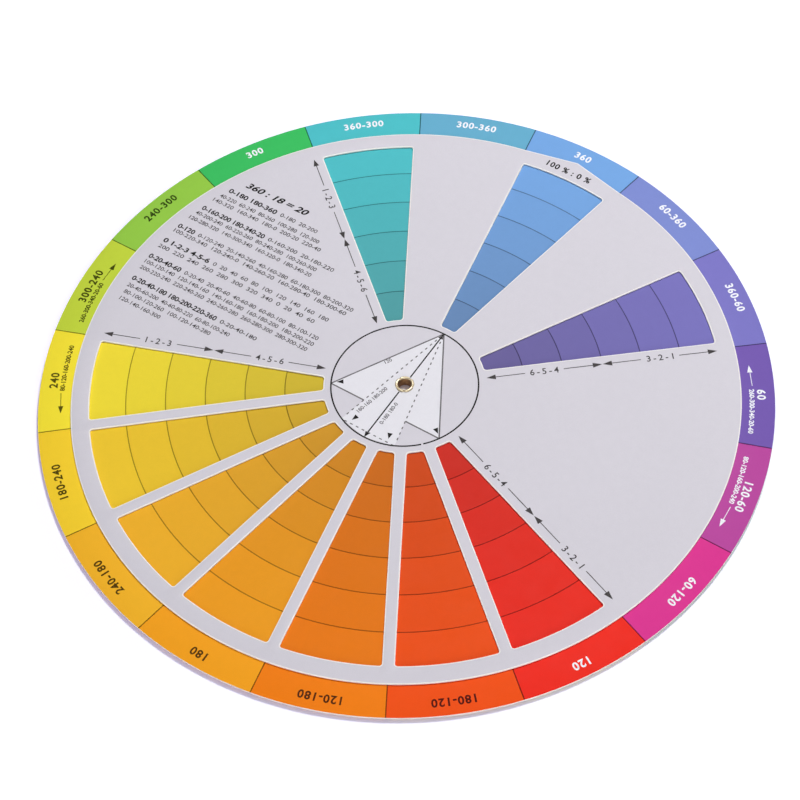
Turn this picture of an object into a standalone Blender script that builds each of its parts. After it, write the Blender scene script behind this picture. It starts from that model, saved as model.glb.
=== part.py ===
"""Color mixing wheel: three round cards that turn on one brass eyelet.

The wheel lies on its back with +Z up. The origin is on the eyelet's axis, at the flange that the wheel
rests on, and +Y points to the key hue, where both dials' pointers stand at rest.
All lengths are in metres.
"""
import math

import bmesh
import bpy

# The card stock, and the air between layers that slide on each other
CARD_THICKNESS = 0.0006
LAYER_GAP = 0.0003

# The base disc, whose printed hue ring stays visible round the dials
BASE_RADIUS = 0.1175
HUE_RING_WIDTH = 0.0106
HUE_COUNT = 18

# What both dials share: the rim's solid band, the solid hub, and the pointer on the rim
DIAL_RIM_BAND = 0.0059
DIAL_HUB_RADIUS = 0.026
POINTER_RISE = 0.0025
WINDOW_CORNER_RADIUS = 0.0009

# The front dial's windows, counted in hues clockwise from the pointer, and the web between neighbours
FRONT_WINDOW_HUES = (-2, 0, 2, 6, 7, 8, 9, 10, 11, 12)
FRONT_WEB_WIDTH = 0.0038

# The rear dial's windows: a ladder of small ones on each of three spokes
REAR_LADDER_HUES = (0, 6, 12)
REAR_LADDER_ROWS = 5
REAR_WEB_WIDTH = 0.0045
REAR_RUNG_WIDTH = 0.0024

# The eyelet: its barrel, the flange behind and the curled lip in front
BARREL_RADIUS = 0.0024
BARREL_WALL = 0.00028
BARREL_CLEARANCE = 0.0003
FLANGE_WIDTH = 0.0017
FLANGE_THICKNESS = 0.0004
LIP_WIDTH = 0.0007
LIP_RISE = 0.0005
NOTCH_WIDTH = 0.0002
NOTCH_AZIMUTHS_DEG = (8, 78, 151, 214, 292)

# How finely round edges are cut, and how far a cutter runs past what it cuts
RIM_STEPS = 180
HOLE_STEPS = 32
CORNER_STEPS = 4
WINDOW_ARC_STEP_DEG = 2.0
EYELET_STEPS = 48
CURL_STEPS = 8
CUT_OVERRUN = 0.0005

# Derived sizes
HUE_ANGLE = math.tau / HUE_COUNT
DIAL_RADIUS = BASE_RADIUS - HUE_RING_WIDTH
WINDOW_OUTER_RADIUS = DIAL_RADIUS - DIAL_RIM_BAND
CARD_HOLE_RADIUS = BARREL_RADIUS + BARREL_CLEARANCE
BORE_RADIUS = BARREL_RADIUS - BARREL_WALL
FLANGE_RADIUS = BARREL_RADIUS + FLANGE_WIDTH
LIP_RADIUS = BARREL_RADIUS + LIP_WIDTH

# Heights of the layers' undersides, from the flange up
REAR_DIAL_HEIGHT = FLANGE_THICKNESS + LAYER_GAP
BASE_HEIGHT = REAR_DIAL_HEIGHT + CARD_THICKNESS + LAYER_GAP
FRONT_DIAL_HEIGHT = BASE_HEIGHT + CARD_THICKNESS + LAYER_GAP
LIP_HEIGHT = FRONT_DIAL_HEIGHT + CARD_THICKNESS + LAYER_GAP


def clear_objects():
    for old in list(bpy.data.objects):
        bpy.data.objects.remove(old, do_unlink=True)


def make_collection(name):
    collection = bpy.data.collections.new(name)
    bpy.context.scene.collection.children.link(collection)
    return collection


def make_material(name, colour, roughness, metallic=0.0):
    material = bpy.data.materials.new(name)
    material.use_nodes = True
    shader = material.node_tree.nodes["Principled BSDF"]
    shader.inputs["Base Color"].default_value = (*colour, 1.0)
    shader.inputs["Roughness"].default_value = roughness
    shader.inputs["Metallic"].default_value = metallic
    return material


def polar(radius, azimuth):
    """The point at a radius and a clockwise azimuth from +Y, as seen from the front."""
    return radius * math.sin(azimuth), radius * math.cos(azimuth)


def arc(centre, radius, start, end, steps):
    """Points along an arc about a centre, both ends included, at clockwise azimuths from +Y."""
    points = []
    for step in range(steps + 1):
        x, y = polar(radius, start + (end - start) * step / steps)
        points.append((centre[0] + x, centre[1] + y))
    return points


def circle_outline(radius, steps):
    return arc((0, 0), radius, 0, math.tau, steps)[:-1]


def dial_outline():
    """The dial's rim, with a straight-sided pointer that spans the key hue."""
    shoulder = HUE_ANGLE / 2
    rim_steps = RIM_STEPS - RIM_STEPS // HUE_COUNT
    rim = arc((0, 0), DIAL_RADIUS, shoulder, math.tau - shoulder, rim_steps)
    return rim + [polar(DIAL_RADIUS + POINTER_RISE, 0)]


def window_outline(hue, inner_radius, outer_radius, web_width):
    """A wedge one hue wide, drawn in by half a web at each side, with rounded corners."""
    middle = hue * HUE_ANGLE
    half_web = web_width / 2
    corner = WINDOW_CORNER_RADIUS
    points = []
    # The corner circles touch the side at their own distance from the spoke between two hues
    outer_turn = math.asin((half_web + corner) / (outer_radius - corner))
    inner_turn = math.asin((half_web + corner) / (inner_radius + corner))
    for side in (1, -1):
        spoke = middle + side * HUE_ANGLE / 2
        side_normal = spoke + side * math.pi / 2
        outer_azimuth = spoke - side * outer_turn
        inner_azimuth = spoke - side * inner_turn
        outer_centre = polar(outer_radius - corner, outer_azimuth)
        inner_centre = polar(inner_radius + corner, inner_azimuth)
        outer_corner = arc(outer_centre, corner, outer_azimuth, side_normal, CORNER_STEPS)
        inner_corner = arc(inner_centre, corner, side_normal, inner_azimuth + side * math.pi, CORNER_STEPS)
        if side > 0:
            arc_steps = max(2, round(math.degrees(HUE_ANGLE - 2 * outer_turn) / WINDOW_ARC_STEP_DEG))
            start = 2 * middle - outer_azimuth
            points += arc((0, 0), outer_radius, start, outer_azimuth, arc_steps)[1:-1]
            points += outer_corner + inner_corner
        else:
            points += [polar(inner_radius, middle)]
            points += inner_corner[::-1] + outer_corner[::-1]
    return points


def add_card(name, outlines, underside, material, collection):
    """A flat card cut along its outlines: the first is its edge and the others are holes."""
    curve = bpy.data.curves.new(name, "CURVE")
    curve.dimensions = "2D"
    curve.fill_mode = "BOTH"
    curve.extrude = CARD_THICKNESS / 2
    for outline in outlines:
        spline = curve.splines.new("POLY")
        spline.points.add(len(outline) - 1)
        for point, (x, y) in zip(spline.points, outline):
            point.co = (x, y, 0, 1)
        spline.use_cyclic_u = True
    curve.materials.append(material)
    card = bpy.data.objects.new(name, curve)
    card.location = (0, 0, underside + CARD_THICKNESS / 2)
    collection.objects.link(card)
    return card


def add_base_disc(collection):
    card = make_material("white_card", (0.88, 0.86, 0.82), 0.45)
    outlines = [circle_outline(BASE_RADIUS, RIM_STEPS), circle_outline(CARD_HOLE_RADIUS, HOLE_STEPS)]
    return add_card("base_disc", outlines, BASE_HEIGHT, card, collection)


def add_front_dial(collection):
    card = make_material("grey_card", (0.66, 0.65, 0.69), 0.4)
    outlines = [dial_outline(), circle_outline(CARD_HOLE_RADIUS, HOLE_STEPS)]
    for hue in FRONT_WINDOW_HUES:
        outlines.append(window_outline(hue, DIAL_HUB_RADIUS, WINDOW_OUTER_RADIUS, FRONT_WEB_WIDTH))
    return add_card("front_dial", outlines, FRONT_DIAL_HEIGHT, card, collection)


def add_rear_dial(collection):
    card = make_material("pale_grey_card", (0.72, 0.71, 0.74), 0.4)
    outlines = [dial_outline(), circle_outline(CARD_HOLE_RADIUS, HOLE_STEPS)]
    pitch = (WINDOW_OUTER_RADIUS - DIAL_HUB_RADIUS) / REAR_LADDER_ROWS
    for hue in REAR_LADDER_HUES:
        for row in range(REAR_LADDER_ROWS):
            inner_radius = DIAL_HUB_RADIUS + row * pitch + REAR_RUNG_WIDTH / 2
            outer_radius = inner_radius + pitch - REAR_RUNG_WIDTH
            outlines.append(window_outline(hue, inner_radius, outer_radius, REAR_WEB_WIDTH))
    return add_card("rear_dial", outlines, REAR_DIAL_HEIGHT, card, collection)


def eyelet_profile():
    """The eyelet's wall at +X: over the curled lip, down the barrel's outside, round the flange and up the bore."""
    points = []
    lip_middle = (BORE_RADIUS + LIP_RADIUS) / 2
    lip_reach = (LIP_RADIUS - BORE_RADIUS) / 2
    for step in range(CURL_STEPS + 1):
        turn = math.pi * step / CURL_STEPS
        points.append((lip_middle - lip_reach * math.cos(turn), LIP_HEIGHT + LIP_RISE * math.sin(turn)))
    points.append((BARREL_RADIUS, LIP_HEIGHT))
    points.append((BARREL_RADIUS, FLANGE_THICKNESS))
    edge = FLANGE_THICKNESS / 2
    for step in range(CURL_STEPS // 2 + 1):
        turn = math.pi * step / (CURL_STEPS // 2)
        points.append((FLANGE_RADIUS - edge + edge * math.sin(turn), edge + edge * math.cos(turn)))
    for step in range(CURL_STEPS // 4 + 1):
        turn = math.pi / 2 * step / (CURL_STEPS // 4)
        points.append((BORE_RADIUS + edge - edge * math.sin(turn), edge - edge * math.cos(turn)))
    return points


def add_notch_cutter(name, azimuth, collection):
    """A thin blade through the curled lip, from the barrel's outside outwards."""
    blade = bmesh.new()
    bmesh.ops.create_cube(blade, size=1)
    length = LIP_WIDTH + CUT_OVERRUN
    height = LIP_RISE + 2 * CUT_OVERRUN
    bmesh.ops.scale(blade, vec=(NOTCH_WIDTH, length, height), verts=blade.verts)
    mesh = bpy.data.meshes.new(name)
    blade.to_mesh(mesh)
    blade.free()
    cutter = bpy.data.objects.new(name, mesh)
    x, y = polar(BARREL_RADIUS + length / 2, azimuth)
    cutter.location = (x, y, LIP_HEIGHT + LIP_RISE / 2)
    cutter.rotation_euler = (0, 0, -azimuth)
    cutter.hide_render = True
    cutter.display_type = "WIRE"
    collection.objects.link(cutter)
    return cutter


def add_eyelet(collection, cutters):
    brass = make_material("brass", (0.78, 0.6, 0.3), 0.3, 1.0)
    profile = eyelet_profile()
    mesh = bpy.data.meshes.new("eyelet")
    vertices = [(x, 0, z) for x, z in profile]
    edges = [(index, (index + 1) % len(profile)) for index in range(len(profile))]
    mesh.from_pydata(vertices, edges, [])
    mesh.materials.append(brass)
    eyelet = bpy.data.objects.new("eyelet", mesh)
    collection.objects.link(eyelet)
    turn = eyelet.modifiers.new("turned wall", "SCREW")
    turn.axis = "Z"
    turn.angle = math.tau
    turn.steps = EYELET_STEPS
    turn.render_steps = EYELET_STEPS
    turn.use_smooth_shade = True
    for number, degrees in enumerate(NOTCH_AZIMUTHS_DEG, start=1):
        cut = eyelet.modifiers.new(f"notch {number}", "BOOLEAN")
        cut.operation = "DIFFERENCE"
        cut.solver = "EXACT"
        cut.object = add_notch_cutter(f"notch_cutter_{number}", math.radians(degrees), cutters)
    return eyelet


def main():
    clear_objects()
    wheel = make_collection("color_mixing_wheel")
    cutters = make_collection("cutters")
    add_rear_dial(wheel)
    add_base_disc(wheel)
    add_front_dial(wheel)
    add_eyelet(wheel, cutters)


main()
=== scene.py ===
"""Color mixing wheel: three printed cards that turn on one brass eyelet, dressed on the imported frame.

Lengths are in metres. Azimuths run clockwise from +Y, the key hue, as seen from the front. A sheet for the
back is drawn as if it faced the front, and is then turned over about the Y axis.
"""

import math

import bmesh
import bpy
from mathutils import Color, Matrix, Vector


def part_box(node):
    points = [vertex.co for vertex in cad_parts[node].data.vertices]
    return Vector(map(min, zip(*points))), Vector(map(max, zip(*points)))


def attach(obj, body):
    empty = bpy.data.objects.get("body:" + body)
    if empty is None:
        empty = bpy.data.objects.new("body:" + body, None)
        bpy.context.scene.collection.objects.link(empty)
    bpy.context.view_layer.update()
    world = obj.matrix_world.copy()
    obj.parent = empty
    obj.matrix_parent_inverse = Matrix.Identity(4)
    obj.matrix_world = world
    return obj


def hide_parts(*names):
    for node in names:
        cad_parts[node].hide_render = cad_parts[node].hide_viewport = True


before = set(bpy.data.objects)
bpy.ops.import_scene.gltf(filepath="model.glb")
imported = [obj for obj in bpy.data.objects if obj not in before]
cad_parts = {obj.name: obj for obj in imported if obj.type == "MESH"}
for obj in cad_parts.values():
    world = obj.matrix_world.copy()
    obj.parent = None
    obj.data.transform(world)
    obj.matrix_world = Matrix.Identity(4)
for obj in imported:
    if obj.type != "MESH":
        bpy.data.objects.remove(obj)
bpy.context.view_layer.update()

MM = 0.001
AXIS_UP = Vector((0, 0, 1))

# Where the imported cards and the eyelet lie
BASE_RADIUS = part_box("base_disc")[1].x
BASE_UNDERSIDE, BASE_TOP = (corner.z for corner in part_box("base_disc"))
DIAL_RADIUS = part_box("front_dial")[1].x
POINTER_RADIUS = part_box("front_dial")[1].y
FRONT_UNDERSIDE, FRONT_TOP = (corner.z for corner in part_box("front_dial"))
REAR_UNDERSIDE, REAR_TOP = (corner.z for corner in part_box("rear_dial"))
EYELET_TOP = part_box("eyelet")[1].z
FLANGE_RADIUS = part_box("eyelet")[1].x

# The hue circle. Each hue has the number on its ring field, that number's ink, its printed color, and the
# share of dark that its bands hold beyond the usual one. A hue between two main ones carries both numbers,
# the nearer one last.
HUES = (
    ("360", "white", (121, 169, 224), -0.035),
    ("60-360", "white", (129, 143, 206), -0.035),
    ("360-60", "white", (127, 122, 194), 0),
    ("60", "white", (119, 94, 173), -0.035),
    ("120-60", "white", (186, 78, 157), -0.02),
    ("60-120", "white", (221, 61, 145), -0.02),
    ("120", "white", (242, 53, 42), -0.02),
    ("180-120", "toned", (245, 87, 34), -0.02),
    ("120-180", "toned", (248, 132, 33), 0.01),
    ("180", "toned", (252, 168, 42), 0),
    ("240-180", "toned", (251, 187, 51), -0.01),
    ("180-240", "toned", (255, 215, 57), 0.015),
    ("240", "toned", (254, 234, 64), 0),
    ("300-240", "toned", (200, 219, 70), 0),
    ("240-300", "toned", (153, 206, 77), 0),
    ("300", "white", (67, 193, 100), -0.02),
    ("360-300", "white", (84, 194, 199), -0.035),
    ("300-360", "white", (107, 175, 203), -0.035),
)
HUE_COUNT = len(HUES)
HUE_ANGLE = math.tau / HUE_COUNT

# Card stock and its cut windows
CARD_HOLE_RADIUS = 2.7 * MM
WINDOW_INNER_RADIUS = 26 * MM
WINDOW_OUTER_RADIUS = 101 * MM
WINDOW_CORNER_RADIUS = 0.9 * MM
WINDOW_CORNER_ROOM = 1.4 * MM
FRONT_WINDOW_HUES = (-2, 0, 2, 6, 7, 8, 9, 10, 11, 12)
FRONT_WEB_WIDTH = 3.8 * MM
REAR_LADDER_HUES = (0, 6, 12)
REAR_ROW_COUNT = 5
REAR_WEB_WIDTH = 4.5 * MM
REAR_RUNG_WIDTH = 2.4 * MM
CUT_OVERRUN = 0.05 * MM
PRINT_MARGIN = 1 * MM
CARD_EDGE_ROUNDING = 0.05 * MM
CARD_EDGE_SEGMENTS = 2
WORN_EDGE_WIDTH = 0.34 * MM
WORN_EDGE_DEPTH = 0.08 * MM

# An edge is rounded where its two faces turn by more than this many radians, and where the rises of their
# normals differ by more than this
CUT_EDGE_ANGLE = 1.2
CUT_EDGE_TURN = 0.8

# A face belongs to a card's cut edge where its normal rises less than this
WALL_SLOPE = 0.98

# The cards bow up round the eyelet and down towards the table at the rim: how far each rises in the middle
# and how far it drops at the base's rim
BASE_BOW = (0.4 * MM, 0.55 * MM)
FRONT_BOW = (0.2 * MM, 0.75 * MM)
REAR_BOW = (0.2 * MM, 0.45 * MM)
CARD_RING_PITCH = 7.5 * MM

# How finely round edges are cut, and the angle beyond which an edge looks sharp
SHARP_ANGLE = math.radians(30)
RIM_STEPS = 360
WINDOW_ARC_STEPS = 10
CORNER_STEPS = 5
RING_LINE_STEPS = 240
PANEL_HOLE_SIDES = 24
DOT_STEPS = 32
DIGIT_CURVE_STEPS = 3

# The base's print: tone and shade bands in front, rows of mixtures behind, and the hue ring on both sides
RING_PRINT_RADIUS = 103.5 * MM
BAND_SHADE_SHARES = (0.28, 0.23, 0.18, 0.13, 0.09, 0.06)
BAND_WIDTH = 12.75 * MM
FIRST_BAND_RADIUS = 38.35 * MM
FRONT_RINGS = [FIRST_BAND_RADIUS + BAND_WIDTH * number for number in range(len(BAND_SHADE_SHARES) - 1)]
REAR_ROW_PITCH = (WINDOW_OUTER_RADIUS - WINDOW_INNER_RADIUS) / REAR_ROW_COUNT
REAR_RINGS = [WINDOW_INNER_RADIUS + REAR_ROW_PITCH * number for number in range(1, REAR_ROW_COUNT)]
MIXTURE_SHARE = 0.42
DIVIDER_WIDTH = 0.36 * MM
SPOKE_INK_SHARE = 0.5
RING_INK_SHARE = 0.34
DIGIT_INK_SHARE = 0.66
BLACK = (0, 0, 0)
WARM_SHADE = (92, 54, 48)
BLUE_SHADE = (62, 46, 44)
BLUE_LEAD = 30
CARD_WHITE = (238, 236, 232)
DIAL_GREY = (213, 210, 215)
REAR_DIAL_GREY = (222, 220, 224)

# What the rear dial adds to a hue, from the outer row of windows to the inner one; the last two are white
# and black
PIGMENTS = ((237, 54, 42), (240, 225, 60), (70, 130, 215), (248, 247, 244), (38, 37, 40))

# Ink lies on its card as a thin film, bedded a little into it
INK_FILM = 0.026 * MM
INK_BED = 0.006 * MM
PANEL_FILM = 0.014 * MM
HAIRLINE_WIDTH = 0.22 * MM
LINE_PIECE_LENGTH = 5 * MM

# Numbers: the share of a text size that a digit is high, and how far bold strokes spread
DIGIT_HEIGHT_SHARE = 0.685
BOLD_SPREAD_SHARE = 0.028
MEDIUM_SPREAD_SHARE = 0.01
WIDE_SPACING = 1.14
RING_DIGIT_HEIGHT = 2.55 * MM
RING_NUMBER_RADIUS = 113.2 * MM
RANGE_DIGIT_HEIGHT = 1.5 * MM
RANGE_NUMBER_RADIUS = 110.2 * MM


def srgb(swatch):
    """A linear color from a swatch's eight-bit values."""
    return tuple(Color([value / 255 for value in swatch]).from_srgb_to_scene_linear())


def under_sheen(swatch):
    """The linear color of an ink that looks like the swatch once the coating's sheen lies over it."""
    return tuple(max(value - COATING_SHEEN, 0) for value in srgb(swatch))


def mix(first, second, share):
    return tuple(a + (b - a) * share for a, b in zip(first, second))


def polar(radius, azimuth):
    """The point at a radius and a clockwise azimuth from +Y, as seen from the front."""
    return Vector((radius * math.sin(azimuth), radius * math.cos(azimuth), 0))


def show(item):
    """Puts an object into the scene."""
    bpy.context.scene.collection.objects.link(item)


# Materials

COATING_SPECULAR = 0.08
COATING_SHEEN = 0.009

# The values between which most of a noise lies
NOISE_MIDDLE = (0.3, 0.7)

# Mottles of a coated card: size, detail, and the share by which they change the brightness
CARD_MOTTLES = ((40 * MM, 2, 0.006), (2.5 * MM, 3, 0.01), (0.25 * MM, 2, 0.022))

# Other grains: size and detail, and how fine they are along each axis where they are drawn out
COATING_PATCHES = (4 * MM, 4)
COATING_GRAIN = (0.35 * MM, 3)
BOARD_LAYERS = (0.6 * MM, 3, (1, 1, 9))
INK_MOTTLE = (0.5 * MM, 3)
INK_PATCHES = (1.5 * MM, 2)
TARNISH = (1.2 * MM, 4)
BRASS_STREAKS = (0.3 * MM, 3, (1, 1, 5))

# How deep a grain's relief is, and the share by which it changes the brightness
COATING_RELIEF = 0.003 * MM
BOARD_RELIEF = 0.02 * MM
BRASS_RELIEF = 0.004 * MM
BOARD_SHARE = 0.06
INK_SHARE = 0.12

# Roughness: its usual, least and greatest value
COATING_ROUGHNESS = (0.6, 0.55, 0.65)
INK_ROUGHNESS = (0.6, 0.5, 0.6)
BRASS_ROUGHNESS = (0.4, 0.28, 0.46)
BOARD_ROUGHNESS = 0.85


def feed(tree, node, inputs):
    """Gives a node's inputs plain values, or links them to other nodes' outputs."""
    for name, value in inputs.items():
        if isinstance(value, bpy.types.NodeSocket):
            tree.links.new(value, node.inputs[name])
        else:
            node.inputs[name].default_value = value


def add_node(tree, kind, inputs):
    node = tree.nodes.new(kind)
    feed(tree, node, inputs)
    return node


def add_math(tree, kind, operation, *values):
    """The outcome of a math node, whose inputs take the given values or outputs in turn."""
    node = tree.nodes.new(kind)
    node.operation = operation
    feed(tree, node, dict(enumerate(values)))
    return node.outputs["Value"]


def feed_shader(material, inputs):
    feed(material.node_tree, material.node_tree.nodes["Principled BSDF"], inputs)


def new_material(name, swatch, roughness, specular=0.5, metallic=0.0):
    material = bpy.data.materials.new(name)
    material.use_nodes = True
    finish = {"Roughness": roughness, "Specular IOR Level": specular, "Metallic": metallic}
    feed_shader(material, {"Base Color": (*srgb(swatch), 1), **finish})
    return material


def add_grain(material, size, detail, stretch=(1, 1, 1)):
    """A noise in the object's own coordinates, whose grains are about as large as the given size."""
    tree = material.node_tree
    place = tree.nodes.new("ShaderNodeTexCoord").outputs["Object"]
    mapping = add_node(tree, "ShaderNodeMapping", {"Vector": place, "Scale": stretch})
    grain = {"Vector": mapping.outputs["Vector"], "Scale": 1 / size, "Detail": detail}
    return add_node(tree, "ShaderNodeTexNoise", grain).outputs["Fac"]


def add_range(material, value, low, high):
    """Spreads a noise's middle values over a range."""
    least, most = NOISE_MIDDLE
    spread = {"Value": value, "From Min": least, "From Max": most, "To Min": low, "To Max": high}
    return add_node(material.node_tree, "ShaderNodeMapRange", spread).outputs["Result"]


def vary_brightness(material, value, share, color=None):
    """Makes a material's color, or a given color output, darker and lighter by a noise."""
    if color is None:
        color = material.node_tree.nodes["Principled BSDF"].inputs["Base Color"].default_value
    change = {"Color": color, "Value": add_range(material, value, 1 - share, 1 + share)}
    changed = add_node(material.node_tree, "ShaderNodeHueSaturation", change).outputs["Color"]
    feed_shader(material, {"Base Color": changed})
    return changed


def roughen(material, value, low, high):
    feed_shader(material, {"Roughness": add_range(material, value, low, high)})


def emboss(material, value, depth):
    """Raises a fine relief of the given depth."""
    bump = add_node(material.node_tree, "ShaderNodeBump", {"Height": value, "Distance": depth})
    feed_shader(material, {"Normal": bump.outputs["Normal"]})


def coated_card(name, swatch, printed=False):
    """Satin coated card: press mottle and fine grain in the ink, and the coating's faint relief."""
    usual, least, most = COATING_ROUGHNESS
    card = new_material(name, swatch, usual, COATING_SPECULAR)
    color = None
    if printed:
        ink = card.node_tree.nodes.new("ShaderNodeAttribute")
        ink.attribute_name = "print"
        color = ink.outputs["Color"]
    for size, detail, share in CARD_MOTTLES:
        color = vary_brightness(card, add_grain(card, size, detail), share, color)
    roughen(card, add_grain(card, *COATING_PATCHES), least, most)
    emboss(card, add_grain(card, *COATING_GRAIN), COATING_RELIEF)
    return card


def cut_board():
    """The white core at a cut edge: layered fibres along the card."""
    board = new_material("cut_board", (243, 240, 233), BOARD_ROUGHNESS)
    layers = add_grain(board, *BOARD_LAYERS)
    vary_brightness(board, layers, BOARD_SHARE)
    emboss(board, layers, BOARD_RELIEF)
    return board


def printing_ink(name, swatch):
    """Offset ink: slightly uneven density under the card's coating."""
    usual, least, most = INK_ROUGHNESS
    ink = new_material(name, swatch, usual, COATING_SPECULAR)
    vary_brightness(ink, add_grain(ink, *INK_MOTTLE), INK_SHARE)
    roughen(ink, add_grain(ink, *INK_PATCHES), least, most)
    return ink


def rolled_brass(name, swatch, tarnish_share):
    """Rolled brass: drawn streaks round the eyelet, and tarnish in patches."""
    usual, least, most = BRASS_ROUGHNESS
    brass = new_material(name, swatch, usual, metallic=1.0)
    vary_brightness(brass, add_grain(brass, *TARNISH), tarnish_share)
    streaks = add_grain(brass, *BRASS_STREAKS)
    roughen(brass, streaks, least, most)
    emboss(brass, streaks, BRASS_RELIEF)
    return brass


MATERIALS = {
    "base card": coated_card("printed_base_card", CARD_WHITE, printed=True),
    "front dial": coated_card("grey_dial_card", DIAL_GREY),
    "rear dial": coated_card("pale_grey_dial_card", REAR_DIAL_GREY),
    "swatches": coated_card("printed_swatches", CARD_WHITE, printed=True),
    "panel": coated_card("white_panel", (230, 229, 232)),
    "cut board": cut_board(),
    "toned": coated_card("toned_ink", CARD_WHITE, printed=True),
    "white": printing_ink("white_ink", (242, 243, 246)),
    "dark grey": printing_ink("dark_grey_ink", (30, 27, 26)),
    "line grey": printing_ink("line_grey_ink", (66, 62, 62)),
    "mid grey": printing_ink("mid_grey_ink", (106, 103, 104)),
    "brass": rolled_brass("rolled_brass", (176, 163, 137), 0.12),
    # The bore's darker, browner brass is painted shade of the hollow, with patches of tarnish
    "bore brass with painted shade": rolled_brass("bore_brass_painted_shade", (158, 122, 84), 0.25),
}


# Meshes


def sweep(sheet, places, axis, angle=math.tau, steps=RIM_STEPS, centre=Vector(), closed=False):
    """Sweeps an outline about an upright axis, and joins the ends of a full turn."""
    points = [sheet.verts.new(place) for place in places]
    followers = points[1:] + points[:1] if closed else points[1:]
    edges = [sheet.edges.new(pair) for pair in zip(points, followers)]
    bmesh.ops.spin(
        sheet, geom=points + edges, cent=centre, axis=axis, angle=angle, steps=steps,
        use_merge=angle == math.tau,
    )


def cut_through(sheet, place, normal, **options):
    """Cuts a whole sheet's faces and edges along a plane."""
    geometry = sheet.verts[:] + sheet.edges[:] + sheet.faces[:]
    bmesh.ops.bisect_plane(sheet, geom=geometry, plane_co=place, plane_no=normal, **options)


def spin_sheet(radii):
    """A flat sheet of rings about the eyelet's axis, with an edge loop at each radius."""
    sheet = bmesh.new()
    sweep(sheet, [polar(radius, 0) for radius in radii], AXIS_UP)
    return sheet


def thicken(sheet, underside, thickness):
    """Turns a flat sheet into a closed slab whose underside is at the given height."""
    raised = bmesh.ops.extrude_face_region(sheet, geom=sheet.faces[:])["geom"]
    top = [item for item in raised if isinstance(item, bmesh.types.BMVert)]
    bmesh.ops.translate(sheet, verts=top, vec=AXIS_UP * thickness)
    bmesh.ops.translate(sheet, verts=sheet.verts, vec=AXIS_UP * underside)
    bmesh.ops.recalc_face_normals(sheet, faces=sheet.faces)


def round_cut_edges(sheet):
    """Rounds the edges between a card's faces and its cut walls by a hair."""
    sheet.normal_update()
    sharp = [
        edge for edge in sheet.edges
        if len(edge.link_faces) == 2 and edge.calc_face_angle() > CUT_EDGE_ANGLE
        and abs(edge.link_faces[0].normal.z - edge.link_faces[1].normal.z) > CUT_EDGE_TURN
    ]
    bmesh.ops.bevel(
        sheet, geom=sharp, offset=CARD_EDGE_ROUNDING, segments=CARD_EDGE_SEGMENTS, profile=0.5,
        affect="EDGES", material=-1, clamp_overlap=True,
    )


def bare_cut_edges(sheet):
    """Gives a card's cut edges its second material."""
    sheet.normal_update()
    for face in sheet.faces:
        if abs(face.normal.z) < WALL_SLOPE:
            face.material_index = 1


def finish_mesh(name, sheet):
    """A mesh from one in work, which is freed."""
    mesh = bpy.data.meshes.new(name)
    sheet.to_mesh(mesh)
    sheet.free()
    return mesh


def join(sheet, mesh):
    """Adds a mesh to one in work, and removes it."""
    sheet.from_mesh(mesh)
    bpy.data.meshes.remove(mesh)


def make_object(name, sheet, materials):
    """A finished piece from a mesh in work."""
    for face in sheet.faces:
        face.smooth = True
    mesh = finish_mesh(name, sheet)
    mesh.set_sharp_from_angle(angle=SHARP_ANGLE)
    for material in materials:
        mesh.materials.append(MATERIALS[material])
    piece = bpy.data.objects.new(name, mesh)
    show(piece)
    return piece


def add_piece(name, sheet, materials, body):
    piece = make_object(name, sheet, materials)
    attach(piece, body)
    return piece


# Printed color on cards


def ring_hue(azimuth):
    """The printed color of the hue at an azimuth, and the extra share of dark in its bands."""
    return HUES[round(azimuth / HUE_ANGLE) % HUE_COUNT][2:]


def divide_print(hue, tint, radius, azimuth, rings):
    """The pure hue on the ring or a tint of it inside, or a darker divider where a spoke or a ring is."""
    if radius < WINDOW_INNER_RADIUS - PRINT_MARGIN:
        return CARD_WHITE
    color = hue if radius > RING_PRINT_RADIUS else tint
    from_spoke = azimuth - (math.floor(azimuth / HUE_ANGLE) + 0.5) * HUE_ANGLE
    if radius * abs(math.sin(from_spoke)) < DIVIDER_WIDTH / 2:
        return mix(color, BLACK, SPOKE_INK_SHARE)
    if any(abs(radius - ring) < DIVIDER_WIDTH / 2 for ring in rings):
        return mix(color, BLACK, RING_INK_SHARE)
    return color


def shade_of(hue):
    """The dark that a hue is shaded with: a cooler one where blue leads clearly."""
    return BLUE_SHADE if hue[2] - max(hue[:2]) > BLUE_LEAD else WARM_SHADE


def front_print(radius, azimuth):
    """Tones and shades of each hue, darker from band to band inwards."""
    hue, more_dark_share = ring_hue(azimuth)
    band = sum(radius > ring for ring in FRONT_RINGS)
    tint = mix(hue, shade_of(hue), BAND_SHADE_SHARES[band] + more_dark_share)
    return divide_print(hue, tint, radius, azimuth, FRONT_RINGS)


def rear_print(radius, azimuth):
    """Each hue mixed with one pigment a row, seen from behind."""
    hue, _ = ring_hue(-azimuth)
    row = REAR_ROW_COUNT - 1 - sum(radius > ring for ring in REAR_RINGS)
    return divide_print(hue, mix(hue, PIGMENTS[row], MIXTURE_SHARE), radius, azimuth, REAR_RINGS)


def base_print(face):
    """The printed color of one face of the base."""
    centre = face.calc_center_median()
    place = math.hypot(centre.x, centre.y), math.atan2(centre.x, centre.y)
    return front_print(*place) if face.normal.z > 0 else rear_print(*place)


def digit_tone(face):
    """The dark tone in which numbers are printed over the pale hues."""
    centre = face.calc_center_median()
    hue, _ = ring_hue(math.atan2(centre.x, centre.y))
    return mix(hue, BLACK, DIGIT_INK_SHARE)


def paint(sheet, color_at):
    """Gives each face its printed color."""
    ink = sheet.loops.layers.float_color.new("print")
    for face in sheet.faces:
        color = under_sheen(color_at(face))
        for loop in face.loops:
            loop[ink] = (*color, 1)


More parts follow.
